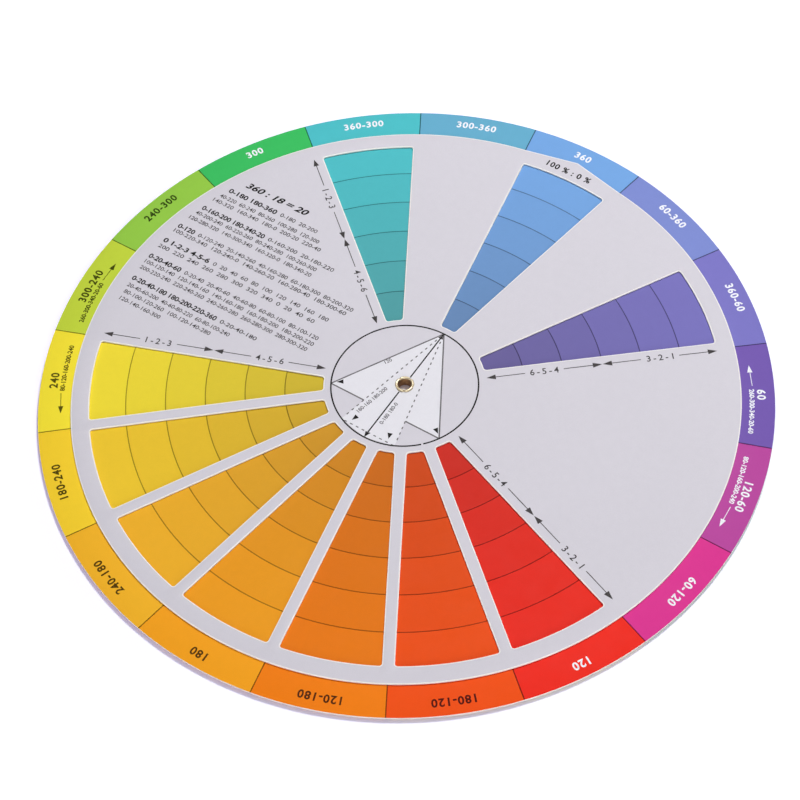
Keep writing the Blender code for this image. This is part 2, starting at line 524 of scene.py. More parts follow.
def score_spokes(sheet):
    """Cuts two edges along each line between hues, half a divider's width to each side."""
    for number in range(HUE_COUNT // 2):
        across = polar(1, (number + 0.5) * HUE_ANGLE + math.pi / 2)
        for side in (-1, 1):
            cut_through(sheet, across * side * DIVIDER_WIDTH / 2, across)


# The cards


def base_radii():
    """Edge loops of the base: the hole, the printed area, both edges of each ring line, and the rim."""
    radii = [CARD_HOLE_RADIUS, WINDOW_INNER_RADIUS - PRINT_MARGIN, RING_PRINT_RADIUS, BASE_RADIUS]
    for ring in FRONT_RINGS + REAR_RINGS:
        radii += [ring - DIVIDER_WIDTH / 2, ring + DIVIDER_WIDTH / 2]
    return sorted(radii + ring_places(CARD_HOLE_RADIUS, WINDOW_INNER_RADIUS - PRINT_MARGIN)[1:-1])


def ring_places(inner_radius, outer_radius):
    """Radii from one to another in even steps, close enough for a card to bow smoothly."""
    count = round((outer_radius - inner_radius) / CARD_RING_PITCH)
    return [inner_radius + (outer_radius - inner_radius) * number / count for number in range(count + 1)]


def add_base_card():
    sheet = spin_sheet(base_radii())
    score_spokes(sheet)
    thicken(sheet, BASE_UNDERSIDE, BASE_TOP - BASE_UNDERSIDE)
    round_cut_edges(sheet)
    bare_cut_edges(sheet)
    paint(sheet, base_print)
    bow(sheet, BASE_BOW)
    card = add_piece("base_card", sheet, ("base card", "cut board"), "base")
    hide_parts("base_disc")


def window_wedge(inner_radius, outer_radius, web_width):
    """A flat wedge at azimuth 0 between two radii, drawn in by half a web at each side."""
    wedge = bmesh.new()
    ends = [polar(radius, -HUE_ANGLE / 2) for radius in (inner_radius, outer_radius)]
    sweep(wedge, ends, -AXIS_UP, HUE_ANGLE, WINDOW_ARC_STEPS)
    for side in (-1, 1):
        outwards = polar(1, side * (HUE_ANGLE / 2 + math.pi / 2))
        cut_through(wedge, -outwards * web_width / 2, outwards, clear_outer=True)
    return wedge


def window_prism(inner_radius, outer_radius, web_width, underside, top):
    """A cutter for one window at azimuth 0, with rounded corners."""
    prism = window_wedge(inner_radius, outer_radius, web_width)
    corners = [vert.co.copy() for vert in prism.verts if is_window_corner(vert)]
    crowding = [
        vert for vert in prism.verts
        if any(0 < (vert.co - corner).length < WINDOW_CORNER_ROOM for corner in corners)
    ]
    bmesh.ops.dissolve_verts(prism, verts=crowding)
    thicken(prism, underside - CUT_OVERRUN, top - underside + 2 * CUT_OVERRUN)
    upright = [
        edge for edge in prism.edges
        if abs(edge.verts[0].co.z - edge.verts[1].co.z) > CUT_OVERRUN
        and any((edge.verts[0].co - corner).to_2d().length < CARD_EDGE_ROUNDING for corner in corners)
    ]
    bmesh.ops.bevel(
        prism, geom=upright, offset=WINDOW_CORNER_RADIUS, segments=CORNER_STEPS, profile=0.5,
        affect="EDGES", material=-1,
    )
    flare(prism, underside, top)
    return prism


def flare(prism, underside, top):
    """Widens a cutter towards its ends, so that it leaves a narrow slope along each cut edge."""
    for level in (underside + WORN_EDGE_DEPTH, top - WORN_EDGE_DEPTH):
        cut_through(prism, AXIS_UP * level, AXIS_UP)
    prism.normal_update()
    reach = WORN_EDGE_WIDTH * (CUT_OVERRUN + WORN_EDGE_DEPTH) / WORN_EDGE_DEPTH
    for vert in prism.verts:
        if not underside < vert.co.z < top:
            walls = [face.normal for face in vert.link_faces if abs(face.normal.z) < WALL_SLOPE]
            vert.co += sum(walls, Vector()).normalized() * reach


def is_window_corner(vert):
    """Whether an outline's two edges meet at about a right angle here."""
    rim = [edge.other_vert(vert).co - vert.co for edge in vert.link_edges if edge.is_boundary]
    return len(rim) == 2 and abs(rim[0].angle(rim[1]) - math.pi / 2) < HUE_ANGLE


def window_cutter(windows, hues, web_width, underside, top):
    """All of a card's window cutters in one object: each (inner, outer) radius pair at each hue."""
    cutter = bmesh.new()
    for inner_radius, outer_radius in windows:
        mesh = finish_mesh("window", window_prism(inner_radius, outer_radius, web_width, underside, top))
        for hue in hues:
            window = mesh.copy()
            window.transform(Matrix.Rotation(-hue * HUE_ANGLE, 4, "Z"))
            join(cutter, window)
        bpy.data.meshes.remove(mesh)
    return bpy.data.objects.new("window_cutter", finish_mesh("window_cutter", cutter))


def draw_out_pointer(sheet):
    """Moves the rim across the key hue out to two straight lines that meet at the pointer's tip."""
    shoulder, tip = polar(DIAL_RADIUS, HUE_ANGLE / 2), polar(POINTER_RADIUS, 0)
    normal = (shoulder - tip).cross(AXIS_UP).normalized()
    for vert in sheet.verts:
        place = Vector((abs(vert.co.x), vert.co.y, 0))
        on_rim = place.length > DIAL_RADIUS - CARD_EDGE_ROUNDING
        if on_rim and 0 <= math.atan2(place.x, place.y) < HUE_ANGLE / 2:
            vert.co *= tip.dot(normal) / place.dot(normal)


def dial_blank(underside, top):
    """A dial before its windows are cut."""
    blank = spin_sheet(ring_places(CARD_HOLE_RADIUS, DIAL_RADIUS))
    draw_out_pointer(blank)
    thicken(blank, underside, top - underside)
    wear_rims(blank, (underside + top) / 2)
    return blank


def wear_rims(blank, middle):
    """Slopes both faces of a blank along its hole and its rim, where the white core shows."""
    blank.normal_update()
    faces = [face for face in blank.faces if abs(face.normal.z) > WALL_SLOPE]
    bmesh.ops.inset_region(
        blank, faces=faces, thickness=WORN_EDGE_WIDTH, use_boundary=True, use_even_offset=True
    )
    blank.normal_update()
    for vert in blank.verts:
        if any(abs(face.normal.z) < WALL_SLOPE for face in vert.link_faces):
            vert.co.z += WORN_EDGE_DEPTH if vert.co.z < middle else -WORN_EDGE_DEPTH


def cut_windows(blank, cutter):
    """The blank with the windows cut out, as a mesh in work again."""
    card = bpy.data.objects.new("blank", finish_mesh("blank", blank))
    for item in (card, cutter):
        show(item)
    cut = card.modifiers.new("windows", "BOOLEAN")
    cut.solver = "EXACT"
    cut.object = cutter
    sheet = bmesh.new()
    sheet.from_object(card, bpy.context.evaluated_depsgraph_get())
    for item in (card, cutter):
        bpy.data.objects.remove(item)
    return sheet


def bow(sheet, rise_and_drop):
    """Bows a card or the ink on it: up round the eyelet, and down at the rim."""
    rise, drop = rise_and_drop
    for vert in sheet.verts:
        share = (vert.co.to_2d().length / BASE_RADIUS) ** 2
        vert.co.z += rise - (rise + drop) * share


def dial_card(windows, hues, web_width, underside, top, rise_and_drop):
    """A dial with its windows cut out, bowed."""
    cutter = window_cutter(windows, hues, web_width, underside, top)
    sheet = cut_windows(dial_blank(underside, top), cutter)
    bare_cut_edges(sheet)
    bow(sheet, rise_and_drop)
    return sheet


def add_front_card():
    windows = [(WINDOW_INNER_RADIUS, WINDOW_OUTER_RADIUS)]
    sheet = dial_card(windows, FRONT_WINDOW_HUES, FRONT_WEB_WIDTH, FRONT_UNDERSIDE, FRONT_TOP, FRONT_BOW)
    card = add_piece("front_card", sheet, ("front dial", "cut board"), "front_dial")
    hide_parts("front_dial")


def rear_windows():
    """The radii of the rear dial's windows, from the inner row to the outer one."""
    edges = [WINDOW_INNER_RADIUS] + REAR_RINGS + [WINDOW_OUTER_RADIUS]
    rung = REAR_RUNG_WIDTH / 2
    return [(inner + rung, outer - rung) for inner, outer in zip(edges, edges[1:])]


def add_rear_card():
    windows = rear_windows()
    sheet = dial_card(windows, REAR_LADDER_HUES, REAR_WEB_WIDTH, REAR_UNDERSIDE, REAR_TOP, REAR_BOW)
    card = add_piece("rear_card", sheet, ("rear dial", "cut board"), "rear_dial")
    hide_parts("rear_dial")


# The eyelet

EYELET_STEPS = 240
CURL_STEPS = 12
EDGE_STEPS = 8
BARREL_RADIUS = 2.4 * MM
BARREL_WALL = 0.28 * MM
LIP_RADIUS = 3.1 * MM
LIP_UNDERSIDE = 3.4 * MM
FLANGE_THICKNESS = 0.4 * MM
PETAL_SPLITS = [math.radians(degrees) for degrees in (8, 78, 151, 214, 292)]
SPLIT_WIDTH = 0.14 * MM
SPLIT_DEPTH = 0.34 * MM
PETAL_SHRINK = 0.16 * MM
PETAL_SHRINK_SPREAD = 3


def section_arc(centre, reach, start, end, steps):
    """Points on an arc of the section: its centre, its reach across and up, and its ends in degrees."""
    (x, z), (across, up) = centre, reach
    turns = [math.radians(start + (end - start) * step / steps) for step in range(steps + 1)]
    return [(x + across * math.cos(turn), z + up * math.sin(turn)) for turn in turns]


def eyelet_outline():
    """Half of the eyelet's section: over the curled lip, down the barrel, round the flange, up the bore."""
    bore = BARREL_RADIUS - BARREL_WALL
    edge = FLANGE_THICKNESS / 2
    lip_middle = ((bore + LIP_RADIUS) / 2, LIP_UNDERSIDE)
    lip_reach = ((LIP_RADIUS - bore) / 2, EYELET_TOP - LIP_UNDERSIDE)
    lip = section_arc(lip_middle, lip_reach, 180, 0, CURL_STEPS)
    barrel = [(BARREL_RADIUS, LIP_UNDERSIDE), (BARREL_RADIUS, FLANGE_THICKNESS)]
    flange = section_arc((FLANGE_RADIUS - edge, edge), (edge, edge), 90, -90, EDGE_STEPS)
    mouth = section_arc((bore + edge, edge), (edge, edge), -90, -180, EDGE_STEPS // 2)
    return lip + barrel + flange + mouth


def split_petals(sheet):
    """Splits the curled lip: a notch at each split, where the petals' edges also draw in."""
    for vert in sheet.verts:
        radius = vert.co.to_2d().length
        if vert.co.z >= LIP_UNDERSIDE and radius > BARREL_RADIUS - BARREL_WALL:
            azimuth = math.atan2(vert.co.x, vert.co.y)
            turns = [abs((azimuth - split + math.pi) % math.tau - math.pi) for split in PETAL_SPLITS]
            away = min(turns) * BARREL_RADIUS / SPLIT_WIDTH
            height_share = (vert.co.z - LIP_UNDERSIDE) / (EYELET_TOP - LIP_UNDERSIDE)
            reach_share = max(radius - BARREL_RADIUS, 0) / (LIP_RADIUS - BARREL_RADIUS)
            drawn_in = PETAL_SHRINK * reach_share * math.exp(-(away / PETAL_SHRINK_SPREAD) ** 2)
            vert.co.z -= SPLIT_DEPTH * height_share * math.exp(-away ** 2)
            vert.co -= polar(drawn_in, azimuth)


def add_eyelet():
    section = bmesh.new()
    sweep(section, [(x, 0, z) for x, z in eyelet_outline()], AXIS_UP, steps=EYELET_STEPS, closed=True)
    bmesh.ops.recalc_face_normals(section, faces=section.faces)
    split_petals(section)
    # Faces inside the bore take the darker brass, painted shade of the hollow
    for face in section.faces:
        place = face.calc_center_median()
        if place.to_2d().length < BARREL_RADIUS - BARREL_WALL / 2 and place.z < LIP_UNDERSIDE:
            face.material_index = 1
    eyelet = add_piece("brass_eyelet", section, ("brass", "bore brass with painted shade"), "base")
    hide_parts("eyelet")


# Ink shapes, drawn flat at height 0


def digits_mesh(digits, height, spread=MEDIUM_SPREAD_SHARE, slant=0.0, spacing=1.0):
    """A line of digits as a flat mesh, centred on the origin."""
    text = bpy.data.curves.new("digits", "FONT")
    text.body = digits
    text.size = height / DIGIT_HEIGHT_SHARE
    text.offset = spread * text.size
    text.shear = slant
    text.space_character = spacing
    text.resolution_u = DIGIT_CURVE_STEPS
    holder = bpy.data.objects.new("digits", text)
    mesh = bpy.data.meshes.new_from_object(holder)
    bpy.data.objects.remove(holder)
    bpy.data.curves.remove(text)
    xs = [vert.co.x for vert in mesh.vertices]
    ys = [vert.co.y for vert in mesh.vertices]
    mesh.transform(Matrix.Translation((-(min(xs) + max(xs)) / 2, -(min(ys) + max(ys)) / 2, 0)))
    return mesh


def draw_ring_digits(sheet, digits, height, radius, azimuth, spacing=1.0):
    """A line of bold digits bent round the axis, with its top outwards."""
    mesh = digits_mesh(digits, height, BOLD_SPREAD_SHARE, spacing=spacing)
    for vert in mesh.vertices:
        vert.co = polar(radius + vert.co.y, azimuth + vert.co.x / radius)
    join(sheet, mesh)


def draw_line(sheet, start, end, width=HAIRLINE_WIDTH):
    """A straight line in short pieces, so that it can bow with its card."""
    along = end - start
    across = along.cross(AXIS_UP).normalized() * width
    pieces = math.ceil(along.length / LINE_PIECE_LENGTH)
    place = Matrix.Translation((start + end) / 2) @ Matrix((along, across, AXIS_UP)).transposed().to_4x4()
    bmesh.ops.create_grid(sheet, x_segments=pieces, y_segments=1, size=0.5, matrix=place)


def draw_head(sheet, tip, direction, length, width):
    """A solid arrowhead with its tip at a point."""
    along = direction.normalized()
    across = along.cross(AXIS_UP) * width / 2
    foot = tip - along * length
    sheet.faces.new([sheet.verts.new(place) for place in (tip, foot + across, foot - across)])


def draw_arrow(sheet, foot, tip, head, width=HAIRLINE_WIDTH):
    """A line with a head at its tip, whose length and width are given."""
    way = (tip - foot).normalized()
    draw_line(sheet, foot, tip - way * head[0], width)
    draw_head(sheet, tip, way, *head)


def draw_ring(sheet, radius, width, start=0.0, angle=math.tau, steps=RING_LINE_STEPS, centre=Vector()):
    """A ring line, or a part of one."""
    ends = [centre + polar(radius + side * width / 2, start) for side in (-1, 1)]
    sweep(sheet, ends, -AXIS_UP, angle, steps, centre)


# Each printed face: its body, slot, height and bow, and whether it faces the back
FACES = {
    "base front": ("base", "white_card", BASE_TOP, BASE_BOW, False),
    "base back": ("base", "white_card", BASE_UNDERSIDE, BASE_BOW, True),
    "front dial": ("front_dial", "grey_card", FRONT_TOP, FRONT_BOW, False),
    "rear dial": ("rear_dial", "pale_grey_card", REAR_UNDERSIDE, REAR_BOW, True),
}


def add_print(name, sheet, ink, face, film=INK_FILM, color_at=None):
    """Lays a flat sheet of ink on a card's face, and bows it with the card."""
    body, slot, height, rise_and_drop, faces_back = FACES[face]
    thicken(sheet, (-height if faces_back else height) - INK_BED, film)
    if color_at:
        paint(sheet, color_at)
    if faces_back:
        over = Matrix.Rotation(math.pi, 3, "Y")
        bmesh.ops.rotate(sheet, verts=sheet.verts, cent=(0, 0, 0), matrix=over)
    bow(sheet, rise_and_drop)
    add_piece(name, sheet, (ink,), body)


# Numbers and range arrows on the hue ring

RANGE_HEAD = (2.8 * MM, 1.7 * MM)
RANGE_ARROW_LENGTH = 8 * MM

# The warm and the cool range: hue, the range's numbers, the azimuths in degrees of their middle and of the
# arrow's tip, and the arrow's way
WARM_DIGITS = "80-120-160-200-240"
COOL_DIGITS = "260-300-340-20-60"
HUE_RANGES = (
    (3, COOL_DIGITS, 63.4, 54.1, -1),
    (4, WARM_DIGITS, 77.2, 86.7, 1),
    (12, WARM_DIGITS, 242.6, 233.3, -1),
    (13, COOL_DIGITS, 256.8, 266.0, 1),
)


def draw_range_arrow(sheet, tip_azimuth, way):
    """A short arrow along the ring."""
    tip = polar(RANGE_NUMBER_RADIUS, tip_azimuth)
    foot = tip - polar(RANGE_ARROW_LENGTH, tip_azimuth + way * math.pi / 2)
    draw_arrow(sheet, foot, tip, RANGE_HEAD)


def ring_numbers(ink):
    """All numbers and range arrows of one ink on the hue ring, as a flat sheet."""
    sheet = bmesh.new()
    for number, (digits, hue_ink, _, _) in enumerate(HUES):
        if hue_ink == ink:
            azimuth = number * HUE_ANGLE
            draw_ring_digits(sheet, digits, RING_DIGIT_HEIGHT, RING_NUMBER_RADIUS, azimuth, WIDE_SPACING)
    for hue, digits, middle, tip, way in HUE_RANGES:
        if HUES[hue][1] == ink:
            draw_ring_digits(sheet, digits, RANGE_DIGIT_HEIGHT, RANGE_NUMBER_RADIUS, math.radians(middle))
            draw_range_arrow(sheet, math.radians(tip), way)
    return sheet


def add_ring_numbers():
    for ink, color_at in (("white", None), ("toned", digit_tone)):
        add_print(f"ring_numbers_{ink}", ring_numbers(ink), ink, "base front", color_at=color_at)
        add_print(f"rear_ring_numbers_{ink}", ring_numbers(ink), ink, "base back", color_at=color_at)


# The scheme diagram in the middle of the front dial

DIAGRAM_RADIUS = 23.6 * MM
DIAGRAM_RING_WIDTH = 0.5 * MM
DIAGRAM_GAP_AZIMUTH = math.radians(133)
DIAGRAM_GAP_ANGLE = math.radians(1.6)
DIAGRAM_HEAD = (2.2 * MM, 1.7 * MM)
DIAGRAM_DIGIT_HEIGHT = 1.3 * MM
AXIS_LINE_WIDTH = 0.45 * MM
TRIAD_LINE_WIDTH = 0.45 * MM
DASH_LENGTH = 0.95 * MM
DASH_GAP = 1.25 * MM
DASH_WIDTH = 0.38 * MM
EYELET_CLEARANCE = 3.3 * MM
TRIAD_AZIMUTH = math.radians(120)
SPLIT_AZIMUTH = math.radians(155)
SPLIT_BASE_HEIGHT = -21.5 * MM
PANEL_CUTS = 5

# Heads that stand clear of their lines, on the right half: tip, and way in degrees
LOOSE_HEADS = (
    ((19.2 * MM, -10.4 * MM), 125),
    ((6.9 * MM, -20.2 * MM), 162),
)


def scheme_corners():
    """The diagram's points: apex, triad corner, where its base meets the split side, and split corner."""
    apex = polar(DIAGRAM_RADIUS, 0)
    triad = polar(DIAGRAM_RADIUS, TRIAD_AZIMUTH)
    split = polar(DIAGRAM_RADIUS, SPLIT_AZIMUTH)
    crossing = apex.lerp(split, (apex.y - triad.y) / (apex.y - split.y))
    return apex, triad, crossing, split


def mirrored(point):
    return Vector((-point.x, point.y, 0))


def add_scheme_panel():
    """The white field that the triad and the split triangle cover together."""
    apex, triad, crossing, split = scheme_corners()
    foot = polar(DIAGRAM_RADIUS, math.pi)
    sheet = bmesh.new()
    outline = (apex, triad, crossing, split, foot, mirrored(split), mirrored(crossing), mirrored(triad))
    sheet.faces.new([sheet.verts.new(point) for point in outline])
    bmesh.ops.triangulate(sheet, faces=sheet.faces)
    bmesh.ops.subdivide_edges(sheet, edges=sheet.edges, cuts=PANEL_CUTS, use_grid_fill=True)
    open_round_eyelet(sheet)
    add_print("scheme_panel", sheet, "panel", "front dial", PANEL_FILM)


def open_round_eyelet(sheet):
    """Opens a panel round the eyelet's barrel, with a cut along each side of a many-sided hole."""
    for side in range(PANEL_HOLE_SIDES):
        outwards = polar(1, math.tau * side / PANEL_HOLE_SIDES)
        near = [face for face in sheet.faces if face.calc_center_median().length < DIAGRAM_RADIUS / 2]
        edges = {edge for face in near for edge in face.edges}
        points = {vert for face in near for vert in face.verts}
        geometry = near + list(edges) + list(points)
        edge = outwards * CARD_HOLE_RADIUS
        bmesh.ops.bisect_plane(sheet, geom=geometry, plane_co=edge, plane_no=outwards)
    hole = [face for face in sheet.faces if face.calc_center_median().length < CARD_HOLE_RADIUS]
    bmesh.ops.delete(sheet, geom=hole, context="FACES")


def draw_dashes(sheet, start, end):
    """A dashed line, from one point to another."""
    along = (end - start).normalized()
    for number in range(int((end - start).length / (DASH_LENGTH + DASH_GAP))):
        foot = start + along * (DASH_LENGTH + DASH_GAP) * (number + 0.5)
        draw_line(sheet, foot, foot + along * DASH_LENGTH, DASH_WIDTH)


def add_scheme_lines():
    """The circle, the triad, the dashed split complement, and the axis to the complement."""
    apex, triad, crossing, split = scheme_corners()
    dark, grey = bmesh.new(), bmesh.new()
    draw_ring(
        dark, DIAGRAM_RADIUS, DIAGRAM_RING_WIDTH, DIAGRAM_GAP_AZIMUTH + DIAGRAM_GAP_ANGLE,
        math.tau - DIAGRAM_GAP_ANGLE,
    )
    for end in (apex, -apex):
        draw_arrow(dark, end.normalized() * EYELET_CLEARANCE, end, DIAGRAM_HEAD, AXIS_LINE_WIDTH)
    for flip in (Vector, mirrored):
        draw_line(grey, apex, flip(triad), TRIAD_LINE_WIDTH)
        draw_line(grey, flip(triad), flip(crossing), TRIAD_LINE_WIDTH)
        draw_dashes(grey, apex, flip(split))
        for place, degrees in LOOSE_HEADS:
            way = flip(polar(1, math.radians(degrees)))
            draw_head(dark, flip(Vector((*place, 0))), way, *DIAGRAM_HEAD)
    split_base = Vector((split.x, SPLIT_BASE_HEIGHT, 0))
    draw_dashes(grey, mirrored(split_base), split_base)
    add_print("scheme_lines_dark", dark, "dark grey", "front dial")
    add_print("scheme_lines_grey", grey, "mid grey", "front dial")


# The diagram's own numbers: digits, middle, and slope in degrees
DIAGRAM_LABELS = (
    ("120", (-9.6 * MM, 5.1 * MM), 60),
    ("180-160 180-200", (-5.7 * MM, -10.3 * MM), 77),
    ("0-180 180-0", (1.7 * MM, -12 * MM), 90),
)


def draw_digits(sheet, digits, height, centre, degrees=0.0, **style):
    """A line of digits on a card, centred on a point and turned anticlockwise."""
    mesh = digits_mesh(digits, height, **style)
    place = Matrix.Translation((*centre, 0)) @ Matrix.Rotation(math.radians(degrees), 4, "Z")
    mesh.transform(place)
    join(sheet, mesh)


def add_diagram_labels():
    sheet = bmesh.new()
    for digits, centre, degrees in DIAGRAM_LABELS:
        draw_digits(sheet, digits, DIAGRAM_DIGIT_HEIGHT, centre, degrees)
    add_print("diagram_numbers", sheet, "line grey", "front dial")


# Arrows along the windows that number the bands, from the tones outside to the shades inside

SCALE_LINE_OFFSET = 1.3 * MM
SCALE_LINE_WIDTH = 0.27 * MM
SCALE_HEAD = (3 * MM, 1.9 * MM)
SCALE_DIGIT_HEIGHT = 2.2 * MM
SCALE_LABEL_GAP = 12.5 * MM
SCALE_SPACING = 1.4

# Each arrow's outer and inner radius, and its numbers as read inwards
SCALE_SPANS = ((101 * MM, 63.8 * MM, "1-2-3"), (63.6 * MM, 26.2 * MM, "4-5-6"))

# Each window side: azimuth, way off it, its numbers' slope in degrees, and whether they read outwards
SCALE_SIDES = ((-50, -1, -39.4, False), (50, 1, 39.4, True), (110, -1, -19.6, True), (250, 1, 19.6, False))


def scale_point(radius, azimuth, way):
    """A point beside a window's side line."""
    return polar(radius, azimuth) + polar(SCALE_LINE_OFFSET, azimuth + way * math.pi / 2)


def add_scale_arrows():
    lines, numbers = bmesh.new(), bmesh.new()
    for degrees, way, slope, outwards in SCALE_SIDES:
        azimuth = math.radians(degrees)
        for outer, inner, digits in SCALE_SPANS:
            ends = [scale_point(radius, azimuth, way) for radius in (outer, inner)]
            middle = ends[0].lerp(ends[1], 0.5)
            for end in ends:
                foot = middle + (end - middle).normalized() * SCALE_LABEL_GAP / 2
                draw_arrow(lines, foot, end, SCALE_HEAD, SCALE_LINE_WIDTH)
            digits = digits[::-1] if outwards else digits
            draw_digits(numbers, digits, SCALE_DIGIT_HEIGHT, middle.to_2d(), slope, spacing=SCALE_SPACING)
    add_print("scale_arrows", lines, "line grey", "front dial")
    add_print("scale_numbers", numbers, "line grey", "front dial")


# The number under the pointer and the table of schemes

POINTER_DIGITS = "100 % : 0 %"
POINTER_DIGITS_PLACE = (-0.6 * MM, 104.4 * MM)
TITLE_DIGITS = "360 : 18 = 20"
TITLE_LINE = (-91.5 * MM, -66.3 * MM, 42.8 * MM)
TITLE_HEIGHT = 2.3 * MM
TITLE_SLANT = 0.25
LEAD_HEIGHT = 1.8 * MM
TABLE_HEIGHT = 1.5 * MM
LEAD_GAP = 1.6 * MM
FULL_ROW_SHARE = 0.8
CIRCLE_DEGREES = 360

# How wide a digit, and any other sign, is as a share of the digits' height
DIGIT_WIDTH_SHARE = 0.77
SIGN_WIDTH_SHARE = 0.42

# Each scheme: its bold lead and the lead's right end, the steps from a key hue to its partners, and the
# left end, right end and height of its lines, all in millimetres from the axis
SCHEMES = (
    ("0-180 180-360", -75.7, (0, 180), ((-95.3, -59.2, 37.7), (-96.7, -56.2, 34.3), (-97.7, -53.8, 31.7))),
    (
        "0-160-200 180-340-20", -73.2, (0, 160, 200),
        ((-98.8, -45.2, 26.8), (-99.5, -50.3, 24.0), (-100.2, -50.5, 21.2)),
    ),
    ("0-120", -94.5, (0, 120, 240), ((-101.2, -30.5, 16.2), (-101.3, -31.7, 13.8))),
    ("0 1-2-3 4-5-6", -83.0, (0,), ((-101.8, -35.2, 8.7), (-101.8, -38.8, 5.8))),
    (
        "0-20-40-60", -89.0, (0, 20, 40),
        ((-102.0, -33.8, 0.7), (-101.8, -33.8, -2.0), (-101.7, -34.5, -4.8)),
    ),
    (
        "0-20-40-180 180-200-220-360", -67.0, (0, 20, 40, 180),
        ((-101.2, -51.0, -9.8), (-100.8, -59.5, -13.0), (-100.2, -65.2, -15.8), (-99.7, -83.3, -18.8)),
    ),
)


def digits_width(digits, height):
    """About how wide a line of digits comes out."""
    shares = [DIGIT_WIDTH_SHARE if sign.isdigit() else SIGN_WIDTH_SHARE for sign in digits]
    return sum(shares) * height


def draw_row(sheet, digits, height, left, right, level, **style):
    """A row of digits, stretched to reach from one end to the other."""
    mesh = digits_mesh(digits, height, **style)
    reach = max(vert.co.x for vert in mesh.vertices)
    stretch = Matrix.Diagonal(((right - left) / 2 / reach, 1, 1, 1))
    mesh.transform(Matrix.Translation(((left + right) / 2, level, 0)) @ stretch)
    join(sheet, mesh)


def scheme_groups(steps, key, width):
    """A scheme worked out for one key hue after another until it fills a line, and the next key hue."""
    digits = ""
    while digits_width(digits, TABLE_HEIGHT) < width:
        digits += "-".join(str((key + step) % CIRCLE_DEGREES) for step in steps) + "  "
        key += CIRCLE_DEGREES // HUE_COUNT
    return digits.strip(), key


def add_scheme_table():
    """Each scheme's steps in bold, and then the same scheme for one key hue after another."""
    bold, light = bmesh.new(), bmesh.new()
    for lead, lead_end, steps, lines in SCHEMES:
        key = 0
        for number, line in enumerate(lines):
            start, end, level = (place * MM for place in line)
            if number == 0:
                draw_row(bold, lead, LEAD_HEIGHT, start, lead_end * MM, level, spread=BOLD_SPREAD_SHARE)
                start = lead_end * MM + LEAD_GAP
            digits, key = scheme_groups(steps, key, (end - start) * FULL_ROW_SHARE)
            draw_row(light, digits, TABLE_HEIGHT, start, end, level)
    draw_row(bold, TITLE_DIGITS, TITLE_HEIGHT, *TITLE_LINE, spread=BOLD_SPREAD_SHARE, slant=TITLE_SLANT)
    draw_digits(
        bold, POINTER_DIGITS, SCALE_DIGIT_HEIGHT, POINTER_DIGITS_PLACE, spread=BOLD_SPREAD_SHARE,
        spacing=WIDE_SPACING,
    )
    add_print("scheme_table_bold", bold, "dark grey", "front dial")
    add_print("scheme_table", light, "line grey", "front dial")


# The mixing guide on the rear dial

PIGMENT_DOT_RADIUS = 2.7 * MM
PIGMENT_DOT_OFFSET = 7.5 * MM
PLUS_OFFSET = 12.5 * MM
SIGN_REACH = 1.3 * MM
SIGN_WIDTH = 0.6 * MM
GREY_STEPS = 10
GREY_SCALE_RADII = (72 * MM, 86 * MM)
GREY_SCALE_DEGREES = (38, 82)
GREY_FACES_PER_STEP = 4
GREY_NUMBER_RADIUS = 68 * MM
REAR_DIGIT_HEIGHT = 2.3 * MM
MIX_DOT_RADIUS = 4.5 * MM
MIX_PITCH = 16 * MM
MIX_ROW_PITCH = 13 * MM
MIX_MIDDLE = (-58 * MM, 33 * MM)
HUE_DOT_RADIUS = 3.2 * MM
HUE_DOTS_RADIUS = 24 * MM
HUE_DOTS_CENTRE = Vector((0, -64 * MM, 0))
OUTLINE_WIDTH = 0.3 * MM

# Two pigments and what they make: red and yellow, yellow and blue, blue and red
MIXES = ((0, 1, (240, 132, 36)), (1, 2, (78, 165, 76)), (2, 0, (128, 78, 160)))


def add_dots(name, swatches, radius):
    """Dots on the rear dial, one for each centre and swatch."""
    dots = bmesh.new()
    for centre, _ in swatches:
        place = Matrix.Translation(centre)
        bmesh.ops.create_circle(dots, cap_ends=True, segments=DOT_STEPS, radius=radius, matrix=place)

    def nearest(face):
        """The swatch whose centre is nearest to a face."""
        place = face.calc_center_median()
        return min(swatches, key=lambda item: (item[0] - place).length)[1]

    add_print(name, dots, "swatches", "rear dial", color_at=nearest)


def draw_plus(sheet, centre):
    for reach in (Vector((SIGN_REACH, 0, 0)), Vector((0, SIGN_REACH, 0))):
        draw_line(sheet, centre - reach, centre + reach, SIGN_WIDTH)


def draw_equals(sheet, centre):
    reach, gap = Vector((SIGN_REACH, 0, 0)), Vector((0, SIGN_WIDTH, 0))
    for middle in (centre - gap, centre + gap):
        draw_line(sheet, middle - reach, middle + reach, SIGN_WIDTH)


def ladder_place(row, azimuth, offset):
    """A place beside one window of a ladder, to its left as seen from outside the rim."""
    radius = WINDOW_OUTER_RADIUS - REAR_ROW_PITCH * (row + 0.5)
    side = azimuth + HUE_ANGLE / 2
    return polar(radius, side) + polar(offset, side + math.pi / 2)


def add_pigment_marks():
    """A dot of the pigment that each row adds, with a plus, beside every ladder of windows."""
    dots, marks = [], bmesh.new()
    for hue in REAR_LADDER_HUES:
        for row, pigment in enumerate(PIGMENTS):
            place = ladder_place(row, hue * HUE_ANGLE, PIGMENT_DOT_OFFSET)
            dots.append((place, pigment))
            draw_ring(marks, PIGMENT_DOT_RADIUS, OUTLINE_WIDTH, steps=DOT_STEPS, centre=place)
            draw_plus(marks, ladder_place(row, hue * HUE_ANGLE, PLUS_OFFSET))
    add_dots("pigment_dots", dots, PIGMENT_DOT_RADIUS)
    add_print("pigment_marks", marks, "dark grey", "rear dial")


